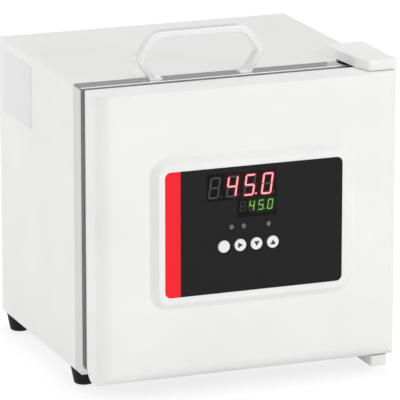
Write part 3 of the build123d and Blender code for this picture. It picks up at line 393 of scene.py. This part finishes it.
def striped_panel():
    """The panel's finish, with its base colour switched by the place in X."""
    paint = finish("panel_black", PANEL_BLACK, 0.5, grain=3000, bump=0.03, Specular_IOR_Level=0.12)
    nodes, links = paint.node_tree.nodes, paint.node_tree.links
    place = nodes.new("ShaderNodeTexCoord")
    split = nodes.new("ShaderNodeSeparateXYZ")
    left = nodes.new("ShaderNodeMath")
    left.operation = "LESS_THAN"
    left.inputs[1].default_value = STRIPE_END
    colour = nodes.new("ShaderNodeMixRGB")
    colour.inputs["Color1"].default_value = PANEL_BLACK
    colour.inputs["Color2"].default_value = PANEL_RED
    links.new(place.outputs["Object"], split.inputs[0])
    links.new(split.outputs["X"], left.inputs[0])
    links.new(left.outputs[0], colour.inputs["Fac"])
    links.new(colour.outputs["Color"], nodes["Principled BSDF"].inputs["Base Color"])


striped_panel()
finish("window_dark", screen(22, 20, 20), 0.25, grain=3000, bump=0.01, Specular_IOR_Level=0.15)
finish(
    "lens_clear", screen(205, 204, 200), 0.06, grain=900, bump=0.01, spread=0.02,
    Transmission_Weight=0.85, IOR=1.5,
)
print("all finishes:", len(FINISHES))

# %% [markdown]
# The CAD parts keep their shape and only get their finish. Each part's record says
# which slot it has, and the slot's name is the finish's name. A few parts share a slot
# with others but look different here: the handle is glossier than the door, and the
# three small screws on the door's edge hide under white plugs.

# %% Finishes on the CAD parts
OWN_LOOK = {"handle": "handle_plastic"}
for number in (1, 2, 3):
    OWN_LOOK[f"door_screw_{number}"] = "plug_plastic"
for part in frame["record"]["subparts"]:
    node = frame["nodes"][part["node"]]
    node.data.materials.clear()
    node.data.materials.append(FINISHES[OWN_LOOK.get(part["node"], part["material_slot"])])
print("finishes on", len(frame["nodes"]), "CAD parts")

# %% [markdown]
# New pieces are all made by the same steps: shape a bmesh, turn it into a mesh with its
# normals outward, shade it smooth except at real edges, give it a finish and say which
# moving body it rides on. One helper does this, so that each later cell is only about
# shape. Flat things on the front are drawn lying down, in X and Y, and then stood up.

# %% Piece helper
STAND_UP = Matrix.Rotation(math.radians(90), 4, "X")
SAME_POINT = 1e-7


def turn_flat(bm, angle, verts):
    """Turn points about the Z axis, by degrees."""
    spin = Matrix.Rotation(math.radians(angle), 3, "Z")
    bmesh.ops.rotate(bm, cent=(0, 0, 0), matrix=spin, verts=verts)


def new_points(grown):
    """The points among what an extrusion made."""
    return [part for part in grown["geom"] if isinstance(part, bmesh.types.BMVert)]


def piece(name, bm, look, body, sharp=35):
    """Make a finished piece from a bmesh, riding on a body."""
    bmesh.ops.remove_doubles(bm, verts=bm.verts, dist=SAME_POINT)
    bmesh.ops.recalc_face_normals(bm, faces=bm.faces)
    mesh = bpy.data.meshes.new(name)
    bm.to_mesh(mesh)
    bm.free()
    mesh.polygons.foreach_set("use_smooth", [True] * len(mesh.polygons))
    mesh.set_sharp_from_angle(angle=math.radians(sharp))
    mesh.materials.append(FINISHES[look])
    thing = bpy.data.objects.new(name, mesh)
    bpy.context.scene.collection.objects.link(thing)
    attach(thing, body)
    return thing


def thicken(bm, faces, depth):
    """Give flat faces a depth towards +Z, as a closed plate."""
    grown = bmesh.ops.extrude_face_region(bm, geom=faces)
    bmesh.ops.translate(bm, vec=(0, 0, depth), verts=new_points(grown))


def stand(bm, front, depth):
    """Stand a flat drawing up, with its front face at this place in Y."""
    place = Matrix.Translation((0, front + depth, 0))
    bmesh.ops.transform(bm, matrix=place @ STAND_UP, verts=bm.verts)


print("piece helper ready")

# %% [markdown]
# A readout digit has seven bars. On the real part they are slots in a black mask with
# light behind, and both the lit and the unlit ones can be seen. Text from a font would
# look wrong, because fonts have no unlit bars. One bar is a hexagon whose two ends are
# pulled apart, a digit places seven of them, and a shear leans each bar with its digit.

# %% Readout digits
BARS = {
    "a": (0, 1, 0), "b": (1, 0.5, 90), "c": (1, -0.5, 90), "d": (0, -1, 0),
    "e": (-1, -0.5, 90), "f": (-1, 0.5, 90), "g": (0, 0, 0),
}
DIGITS = {" ": "", "4": "fgbc", "5": "afgcd", "0": "abcdef"}
LEAN = 0.135
HEXAGON_WIDTH = 1.732
BAR_END = 0.62


def bar_places(x, z, wide, tall, bars):
    """The middle, the half length and the turn of each named bar of a digit."""
    places = []
    for bar in bars:
        across, up, turn = BARS[bar]
        half = wide / 2 if turn == 0 else tall / 4
        places.append((x + across * wide / 2, z + up * tall / 2, half, turn))
    return places


def add_bar(bm, x, z, half, turn, thick, lean_z):
    """One bar: a hexagon pulled long, turned, put in place and leaned over."""
    radius = thick / HEXAGON_WIDTH
    bar = bmesh.ops.create_circle(bm, cap_ends=True, segments=6, radius=radius)["verts"]
    turn_flat(bm, 90, bar)
    for side in (-1, 1):
        end = [vert for vert in bar if vert.co.x * side > 0]
        bmesh.ops.translate(bm, vec=(side * (half - thick * BAR_END), 0, 0), verts=end)
    turn_flat(bm, turn, bar)
    bmesh.ops.translate(bm, vec=(x, z, 0), verts=bar)
    lean = Matrix.Shear("XZ", 4, (0, 0))
    lean[0][1] = LEAN
    lean[0][3] = -LEAN * lean_z
    bmesh.ops.transform(bm, matrix=lean, verts=bar)


print("one digit has", len(BARS), "bars, leaning", LEAN)

# %% [markdown]
# The large readout shows the temperature in red and the small one the set value in
# green. Each is four digits wide with the first one dark. The bars are thin plates just
# inside the recess of the window, so that the panel's edge still stands above them.
# Lit bars send out light of their own. Their colour is paler than the glow around them,
# because a lit segment is too bright for the camera to keep its colour.

# %% Lit and unlit bars
WINDOW_FACE = -148.1 * MM
FILM = 0.03 * MM
BAR_DEPTH = 0.04 * MM
READOUTS = {
    "red": dict(
        first=-39.6, step=17.42, middle=201.55, wide=8.7, tall=18.7, thick=1.75, point=(6.2, -8.6)
    ),
    "green": dict(
        first=-11.7, step=9.1, middle=181.6, wide=4.3, tall=8.7, thick=0.66, point=(3.1, -4.0)
    ),
}
SHOWN = (" ", "4", "5", "0")
POINT_AFTER = 2
POINT_SIDES = 16


def glowing(name, colour, strength):
    """A finish that sends out its own light."""
    paint = finish(name, screen(20, 20, 20), 0.5)
    shader = paint.node_tree.nodes["Principled BSDF"]
    shader.inputs["Emission Color"].default_value = colour
    shader.inputs["Emission Strength"].default_value = strength


glowing("red_lit", screen(255, 160, 171), 1.2)
glowing("green_lit", screen(160, 222, 108), 0.86)
finish("bar_unlit", screen(66, 65, 66), 0.5, Specular_IOR_Level=0.2)


def readout_bars(kind, lit):
    """All lit or all unlit bars and points of one readout, in millimetres."""
    size = READOUTS[kind]
    places = []
    for index, digit in enumerate(SHOWN):
        x = size["first"] + index * size["step"]
        on = DIGITS[digit]
        bars = on if lit else "".join(bar for bar in BARS if bar not in on)
        places += bar_places(x, size["middle"], size["wide"], size["tall"], bars)
        if (index == POINT_AFTER) == lit:
            places.append((x + size["point"][0], size["middle"] + size["point"][1], 0, 0))
    return places


def readout_piece(kind, lit, look):
    """The bars of one readout as one piece on the window."""
    size = READOUTS[kind]
    bm = bmesh.new()
    for x, z, half, turn in readout_bars(kind, lit):
        if half:
            add_bar(bm, x * MM, z * MM, half * MM, turn, size["thick"] * MM, size["middle"] * MM)
        else:
            radius = size["thick"] * 0.5 * MM
            dot = bmesh.ops.create_circle(bm, cap_ends=True, segments=POINT_SIDES, radius=radius)
            bmesh.ops.translate(bm, vec=(x * MM, z * MM, 0), verts=dot["verts"])
    thicken(bm, bm.faces[:], BAR_DEPTH)
    stand(bm, WINDOW_FACE - FILM - BAR_DEPTH, BAR_DEPTH)
    state = "lit" if lit else "dark"
    return piece(f"{kind}_bars_{state}", bm, look, "door")


for kind in READOUTS:
    for lit, look in ((True, f"{kind}_lit"), (False, "bar_unlit")):
        made = readout_piece(kind, lit, look)
        print(made.name, len(made.data.polygons), "faces")

# %% [markdown]
# Light leaks sideways in the readout's tinted window, so a lit digit has a dim halo in
# its own colour. A blurred picture could be laid over it, but the halo then needs an
# image. Here a thin film covers the window with a fine grid, each of its points stores
# how near the closest lit bar is, and the material turns that number into light.

# %% Glow film
FILM_CELL = 0.8
HALO = 1.15
FILMS = {"red": ((-47.5, 22.0), (189.4, 214.8)), "green": ((-17.4, 22.0), (171.4, 189.2))}


def bar_distance(x, z, bar, lean_z):
    """How far a point is from the middle line of a leaning bar, in millimetres."""
    bar_x, bar_z, half, turn = bar
    along = (math.cos(math.radians(turn)), math.sin(math.radians(turn)))
    from_x = x - LEAN * (z - lean_z) - bar_x
    from_z = z - bar_z
    step = max(-half, min(half, from_x * along[0] + from_z * along[1]))
    return math.hypot(from_x - step * along[0], from_z - step * along[1])


def film_finish(kind, colour):
    """Dark tinted plastic whose light comes from the stored nearness."""
    paint = finish(f"{kind}_film", screen(10, 9, 9), 0.3, grain=3000, bump=0.01, Specular_IOR_Level=0.1)
    nodes, links = paint.node_tree.nodes, paint.node_tree.links
    near = nodes.new("ShaderNodeAttribute")
    near.attribute_name = "halo"
    ramp = nodes.new("ShaderNodeValToRGB")
    ramp.color_ramp.elements[0].color = (0, 0, 0, 1)
    ramp.color_ramp.elements[1].color = colour
    links.new(near.outputs["Fac"], ramp.inputs["Fac"])
    links.new(ramp.outputs["Color"], nodes["Principled BSDF"].inputs["Emission Color"])
    nodes["Principled BSDF"].inputs["Emission Strength"].default_value = 1.0


def film_piece(kind):
    """The film over one readout, with its halo stored at each point."""
    (left, right), (low, top) = FILMS[kind]
    lit = readout_bars(kind, True)
    lean_z = READOUTS[kind]["middle"]
    bm = bmesh.new()
    wide, tall = right - left, top - low
    middle = ((left + right) / 2 * MM, (low + top) / 2 * MM, 0)
    across, up = round(wide / FILM_CELL), round(tall / FILM_CELL)
    bmesh.ops.create_grid(bm, x_segments=across, y_segments=up, size=0.5)
    bmesh.ops.scale(bm, vec=(wide * MM, tall * MM, 1), verts=bm.verts)
    bmesh.ops.translate(bm, vec=middle, verts=bm.verts)
    thicken(bm, bm.faces[:], FILM)
    stand(bm, WINDOW_FACE - FILM, FILM)
    halo = bm.verts.layers.float.new("halo")
    for vert in bm.verts:
        distance = min(bar_distance(vert.co.x / MM, vert.co.z / MM, bar, lean_z) for bar in lit)
        vert[halo] = math.exp(-distance / HALO)
    return piece(f"{kind}_film", bm, f"{kind}_film", "door")


film_finish("red", screen(140, 6, 22))
film_finish("green", screen(36, 84, 22))
for kind in FILMS:
    made = film_piece(kind)
    print(made.name, len(made.data.vertices), "points")

# %% [markdown]
# Three of the four keys have a printed triangle: right, down and up. They are thin
# plates on the key's face, because each key has to carry its symbol when it is pressed,
# and a printed colour in the material would need its own coordinates for every key.

# %% Key symbols
KEY_FACE = -149.6 * MM
KEY_Z = 145.2 * MM
INK = 0.03 * MM
SIGN_R = 3.2 * MM
finish("ink_dark", screen(38, 38, 39), 0.6)
KEY_SIGNS = {"key_2": (-14.3, 0), "key_3": (1.8, -90), "key_4": (18.1, 90)}
for key, (x, turn) in KEY_SIGNS.items():
    bm = bmesh.new()
    bmesh.ops.create_circle(bm, cap_ends=True, segments=3, radius=SIGN_R)
    bmesh.ops.translate(bm, vec=(0, -SIGN_R / 4, 0), verts=bm.verts)
    turn_flat(bm, turn - 90, bm.verts)
    thicken(bm, bm.faces[:], INK)
    stand(bm, 0, INK)
    bmesh.ops.translate(bm, vec=(x * MM, KEY_FACE - INK, KEY_Z), verts=bm.verts)
    made = piece(f"{key}_sign", bm, "ink_dark", key)
    print(made.name, [round(v / MM, 1) for v in made.bound_box[0]])

# %% [markdown]
# Under each small hole in the panel sits a lamp of clear resin, dark while it is off.
# What the eye sees in it is the tiny silver cup that holds the chip. The lens is a CAD
# part and gets a glass-like finish. The cup is a ring that is pulled in and down into
# a cone, with a flat bottom, and it lies inside the lens.

# %% Cups in the lamp lenses
LED_X = (-22.8, -10.6, 14.1)
LED_Z = 163.0
CUP_FACE = -148.2
CUP_RINGS = ((2.0, 0.0), (1.7, 0.0), (0.8, -0.9))
finish("cup_silver", screen(118, 118, 116), 0.35, grain=1500, bump=0.02, Metallic=0.6)
for number, x in enumerate(LED_X, 1):
    bm = bmesh.new()
    bmesh.ops.create_circle(bm, segments=32, radius=CUP_RINGS[0][0] * MM)
    rim = bm.edges[:]
    for (before, high), (radius, low) in zip(CUP_RINGS, CUP_RINGS[1:]):
        grown = bmesh.ops.extrude_edge_only(bm, edges=rim)
        ring = new_points(grown)
        edges = [part for part in grown["geom"] if isinstance(part, bmesh.types.BMEdge)]
        rim = [edge for edge in edges if all(vert in ring for vert in edge.verts)]
        bmesh.ops.scale(bm, vec=(radius / before, radius / before, 1), verts=ring)
        bmesh.ops.translate(bm, vec=(0, 0, (low - high) * MM), verts=ring)
    bmesh.ops.contextual_create(bm, geom=rim)
    place = Matrix.Translation((x * MM, CUP_FACE * MM, LED_Z * MM))
    bmesh.ops.transform(bm, matrix=place @ STAND_UP, verts=bm.verts)
    made = piece(f"led_cup_{number}", bm, "cup_silver", "door")
    print(made.name, len(made.data.polygons), "faces")

# %% [markdown]
# The seal between door and cabinet is a soft vinyl profile: a flat foot held in the
# door, a folded wall on each side that lets it spread or close up, and a box with a
# magnet inside that meets the cabinet. Four lengths of it are welded at 45 degrees.
# So its section is drawn once and set up at each of the four corners, with every point
# as far from the outer edge in X as in Z, and bridging the four loops gives the mitres
# by themselves. It replaces the plain stepped frame of the CAD model.

# %% Door seal
SEAL_SECTION = (
    (0.7, 0.0), (0.5, 1.7), (2.6, 3.0), (3.5, 4.2), (2.2, 5.6), (3.4, 7.0), (2.3, 8.3), (0.9, 9.2),
    (0.5, 10.2), (0.5, 13.4), (0.9, 14.4), (1.9, 14.8), (10.4, 14.8), (11.3, 14.3), (11.6, 13.2),
    (11.6, 10.4), (10.9, 9.3), (9.4, 8.4), (10.3, 7.0), (9.1, 5.6), (10.3, 4.2), (11.8, 3.0),
    (12.7, 1.7), (12.5, 0.0),
)
seal_low, seal_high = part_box("door_gasket")


def door_seal():
    """Four mitred lengths of one vinyl section, welded into a frame."""
    bm = bmesh.new()
    loops = []
    for side, level in ((-1, -1), (1, -1), (1, 1), (-1, 1)):
        edge_x = seal_low[0] if side < 0 else seal_high[0]
        edge_z = seal_low[2] if level < 0 else seal_high[2]
        ring = []
        for inward, back in SEAL_SECTION:
            x = edge_x - side * inward * MM
            z = edge_z - level * inward * MM
            ring.append(bm.verts.new((x, seal_low[1] + back * MM, z)))
        loops.append([bm.edges.new((ring[index - 1], ring[index])) for index in range(len(ring))])
    for index in range(4):
        bmesh.ops.bridge_loops(bm, edges=loops[index - 1] + loops[index])
    seal = piece("seal_bellows", bm, "gasket_grey", "door", sharp=50)
    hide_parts("door_gasket")
    return seal


seal = door_seal()
print(seal.name, len(seal.data.polygons), "faces, deep", round((seal_high[1] - seal_low[1]) / MM, 1))

# %% [markdown]
# The mains switch at the back carries the two signs that every such switch has, a bar
# for on and a ring for off, moulded in white on the slopes of the rocker. They are
# drawn flat and then turned onto the slope with a matrix whose columns are the slope's
# own directions: across, along and out of it.

# %% Signs on the mains switch
ROCKER_MIDDLE = Vector((62.0, 144.8, 52.0)) * MM
ROCKER_TILT = math.radians(8)
ALONG = Vector((0, math.sin(ROCKER_TILT), math.cos(ROCKER_TILT)))
OUTWARD = Vector((0, math.cos(ROCKER_TILT), -math.sin(ROCKER_TILT)))
SLOPE = math.atan2(1.7, 5.0)
SIGN_ALONG = 6.4
SIGN_OUT = 2.384
BAR_WIDE = 0.6
BAR_LONG = 3.0
RING_R = 1.6
RING_HOLE = 0.62
SIGN_DEPTH = 0.06
finish("sign_white", screen(232, 232, 230), 0.5)


def on_the_slope(end):
    """The matrix that lays a flat sign on the rocker's upper (1) or lower (-1) slope."""
    middle = ROCKER_MIDDLE + ALONG * end * SIGN_ALONG * MM + OUTWARD * SIGN_OUT * MM
    along = ALONG * math.cos(SLOPE) - OUTWARD * end * math.sin(SLOPE)
    out = OUTWARD * math.cos(SLOPE) + ALONG * end * math.sin(SLOPE)
    across = along.cross(out)
    return Matrix((across, along, out)).transposed().to_4x4(), middle


for name, end in (("switch_sign_on", 1), ("switch_sign_off", -1)):
    bm = bmesh.new()
    if end > 0:
        bmesh.ops.create_grid(bm, x_segments=1, y_segments=4, size=0.5 * MM)
        bmesh.ops.scale(bm, vec=(BAR_WIDE, BAR_LONG, 1), verts=bm.verts)
    else:
        bmesh.ops.create_circle(bm, segments=32, radius=RING_R * MM)
        grown = bmesh.ops.extrude_edge_only(bm, edges=bm.edges[:])
        bmesh.ops.scale(bm, vec=(RING_HOLE, RING_HOLE, 1), verts=new_points(grown))
    thicken(bm, bm.faces[:], SIGN_DEPTH * MM)
    turn, middle = on_the_slope(end)
    bmesh.ops.transform(bm, matrix=Matrix.Translation(middle) @ turn, verts=bm.verts)
    made = piece(name, bm, "sign_white", "switch_rocker")
    print(made.name, len(made.data.polygons), "faces")
